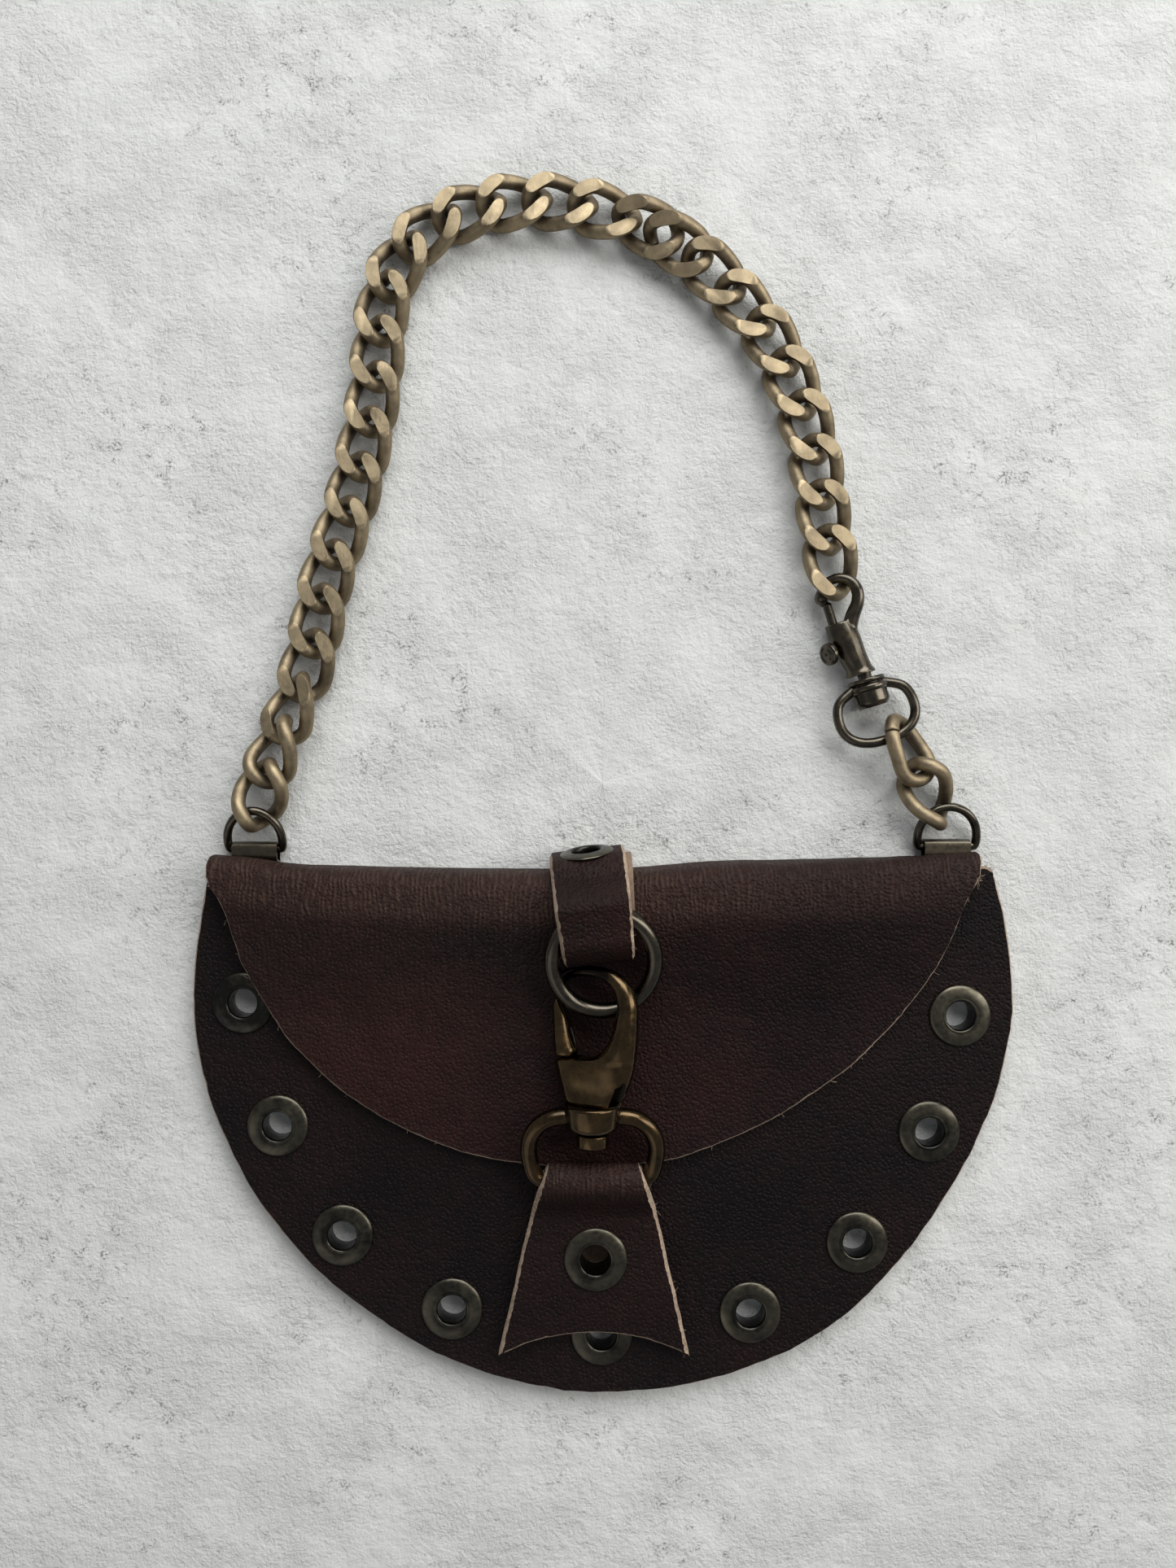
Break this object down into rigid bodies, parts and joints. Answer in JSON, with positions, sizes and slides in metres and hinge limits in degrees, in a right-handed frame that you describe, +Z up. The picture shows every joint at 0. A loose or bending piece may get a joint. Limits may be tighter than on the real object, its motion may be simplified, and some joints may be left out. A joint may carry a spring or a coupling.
{
  "type": "leather wristlet pouch",
  "caption": "Half-moon leather pouch with a folded flap, eyelets along its rim, a strap with an O-ring and a swivel clasp, and a curb chain wrist handle on a bolt snap",
  "frame": {"origin": "bottom centre of the whole object as it lies on its back panel, on the floor", "axes": "+Y from the pouch towards the far end of the chain, +Z up out of the flap, +X to the right seen from above"},
  "size_m": [0.1888, 0.2802, 0.0238],
  "materials": {
    "leather": "dark brown pull-up leather, waxed, tan raw edges",
    "antique_brass": "antiqued, dark in the hollows and rubbed bright on the ridges",
    "brushed_bronze": "brushed antique gold",
    "dark_brass": "dark antiqued, satin"
  },
  "bodies": {
    "pouch_and_chain": {"back_panel_with_flap": "leather", "front_panel": "leather", "closure_strap": "leather", "tab": "leather", "rim_eyelet_1": "antique_brass", "rim_eyelet_2": "antique_brass", "rim_eyelet_3": "antique_brass", "rim_eyelet_4": "antique_brass", "rim_eyelet_5": "antique_brass", "rim_eyelet_6": "antique_brass", "rim_eyelet_7": "antique_brass", "rim_eyelet_8": "antique_brass", "rim_eyelet_9": "antique_brass", "strap_eyelet": "antique_brass", "tab_eyelet": "antique_brass", "o_ring": "antique_brass", "clasp_hook": "antique_brass", "clasp_eye": "antique_brass", "d_ring_left": "dark_brass", "d_ring_right": "dark_brass", "d_ring_clip_left": "dark_brass", "d_ring_clip_right": "dark_brass", "link_01": "brushed_bronze", "link_02": "brushed_bronze", "link_03": "brushed_bronze", "link_04": "brushed_bronze", "link_05": "brushed_bronze", "link_06": "brushed_bronze", "link_07": "brushed_bronze", "link_08": "brushed_bronze", "link_09": "brushed_bronze", "link_10": "brushed_bronze", "link_11": "brushed_bronze", "link_12": "brushed_bronze", "link_13": "brushed_bronze", "link_14": "brushed_bronze", "link_15": "brushed_bronze", "link_16": "brushed_bronze", "link_17": "brushed_bronze", "link_18": "brushed_bronze", "link_19": "brushed_bronze", "link_20": "brushed_bronze", "link_21": "brushed_bronze", "link_22": "brushed_bronze", "link_23": "brushed_bronze", "link_24": "brushed_bronze", "link_25": "brushed_bronze", "link_26": "brushed_bronze", "link_27": "brushed_bronze", "link_28": "brushed_bronze", "short_link_a": "brushed_bronze", "short_link_b": "brushed_bronze", "snap_eye": "dark_brass"},
    "clasp_gate": {"clasp_gate": "antique_brass"},
    "snap_hook": {"snap_hook": "dark_brass"},
    "snap_bolt": {"snap_bolt": "dark_brass"}
  },
  "joints": [
    {"name": "clasp_gate_hinge", "type": "hinge", "parent": "pouch_and_chain", "child": "clasp_gate", "pos_m": [-0.00824, -0.0598, 0.01275], "axis": [-0.438, 0, 0.899], "range_deg": [-14, 0], "stiffness_Nm_per_rad": 0.1},
    {"name": "snap_swivel", "type": "hinge", "parent": "pouch_and_chain", "child": "snap_hook", "pos_m": [0.0613, 0.0206, 0.0044], "axis": [-0.2924, 0.9563, 0], "range_deg": [-20, 6]},
    {"name": "snap_bolt_slide", "type": "slide", "parent": "snap_hook", "child": "snap_bolt", "axis": [0.2924, -0.9563, 0], "range_m": [0, 0.004], "stiffness_N_per_m": 200}
  ]
}
